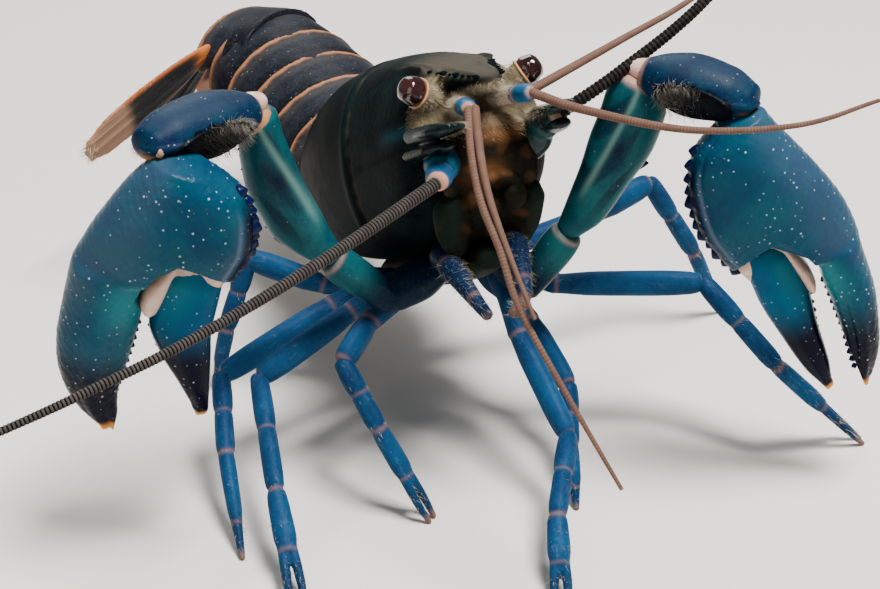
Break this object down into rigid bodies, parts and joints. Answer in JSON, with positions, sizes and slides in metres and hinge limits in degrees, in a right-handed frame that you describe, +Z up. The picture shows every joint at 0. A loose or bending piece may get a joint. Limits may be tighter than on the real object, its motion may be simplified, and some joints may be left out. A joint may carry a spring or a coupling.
{
  "type": "cherax crayfish",
  "caption": "Life-size blue crayfish standing high on its walking legs, claws hanging open in front and tail fan spread behind.",
  "frame": {"origin": "on the floor, under the middle of the whole animal's bounding box", "axes": "+Z up from the floor; the animal faces -Y with its head and claws, its tail is towards +Y and its own left side is towards +X"},
  "size_m": [0.1636, 0.1392, 0.0923],
  "materials": {
    "body_shell": "satin horny shell, dark blue-green, brownish on the flanks",
    "tail_shell": "satin horny shell, charcoal with orange-tan hems",
    "claw_blue": "semi-gloss horny shell, deep teal blue with pale dots",
    "claw_navy": "semi-gloss horny shell, navy",
    "arm_teal": "semi-gloss horny shell, teal",
    "leg_blue": "semi-gloss horny shell, bright blue with pale joints",
    "mouth_blue": "satin horny shell, blue-green with setae",
    "feeler": "matt grey-brown with dark rings",
    "antennule": "matt brownish pink",
    "eye": "wet gloss, dark maroon"
  },
  "bodies": {
    "root": {"carapace": "body_shell", "face": "body_shell", "left_2_leg_lower": "leg_blue", "left_2_leg_upper": "leg_blue", "left_3_leg_lower": "leg_blue", "left_3_leg_upper": "leg_blue", "left_4_leg_lower": "leg_blue", "left_4_leg_upper": "leg_blue", "left_5_leg_lower": "leg_blue", "left_5_leg_upper": "leg_blue", "left_antenna_base": "mouth_blue", "left_antenna_far": "feeler", "left_antenna_near": "feeler", "left_antennule": "antennule", "left_cheliped_carpus": "claw_navy", "left_cheliped_dactyl": "claw_navy", "left_cheliped_ischium": "arm_teal", "left_cheliped_merus": "arm_teal", "left_cheliped_palm": "claw_blue", "left_eye": "eye", "left_eyestalk": "body_shell", "left_inner_uropod": "tail_shell", "left_maxilliped": "mouth_blue", "left_outer_uropod": "tail_shell", "left_scale": "mouth_blue", "pleon_1": "tail_shell", "pleon_2": "tail_shell", "pleon_3": "tail_shell", "pleon_4": "tail_shell", "pleon_5": "tail_shell", "pleon_6": "tail_shell", "right_2_leg_lower": "leg_blue", "right_2_leg_upper": "leg_blue", "right_3_leg_lower": "leg_blue", "right_3_leg_upper": "leg_blue", "right_4_leg_lower": "leg_blue", "right_4_leg_upper": "leg_blue", "right_5_leg_lower": "leg_blue", "right_5_leg_upper": "leg_blue", "right_antenna_base": "mouth_blue", "right_antenna_far": "feeler", "right_antenna_near": "feeler", "right_antennule": "antennule", "right_cheliped_carpus": "claw_navy", "right_cheliped_dactyl": "claw_navy", "right_cheliped_ischium": "arm_teal", "right_cheliped_merus": "arm_teal", "right_cheliped_palm": "claw_blue", "right_eye": "eye", "right_eyestalk": "body_shell", "right_inner_uropod": "tail_shell", "right_maxilliped": "mouth_blue", "right_outer_uropod": "tail_shell", "right_scale": "mouth_blue", "sternum": "body_shell", "telson": "tail_shell"}
  },
  "joints": []
}
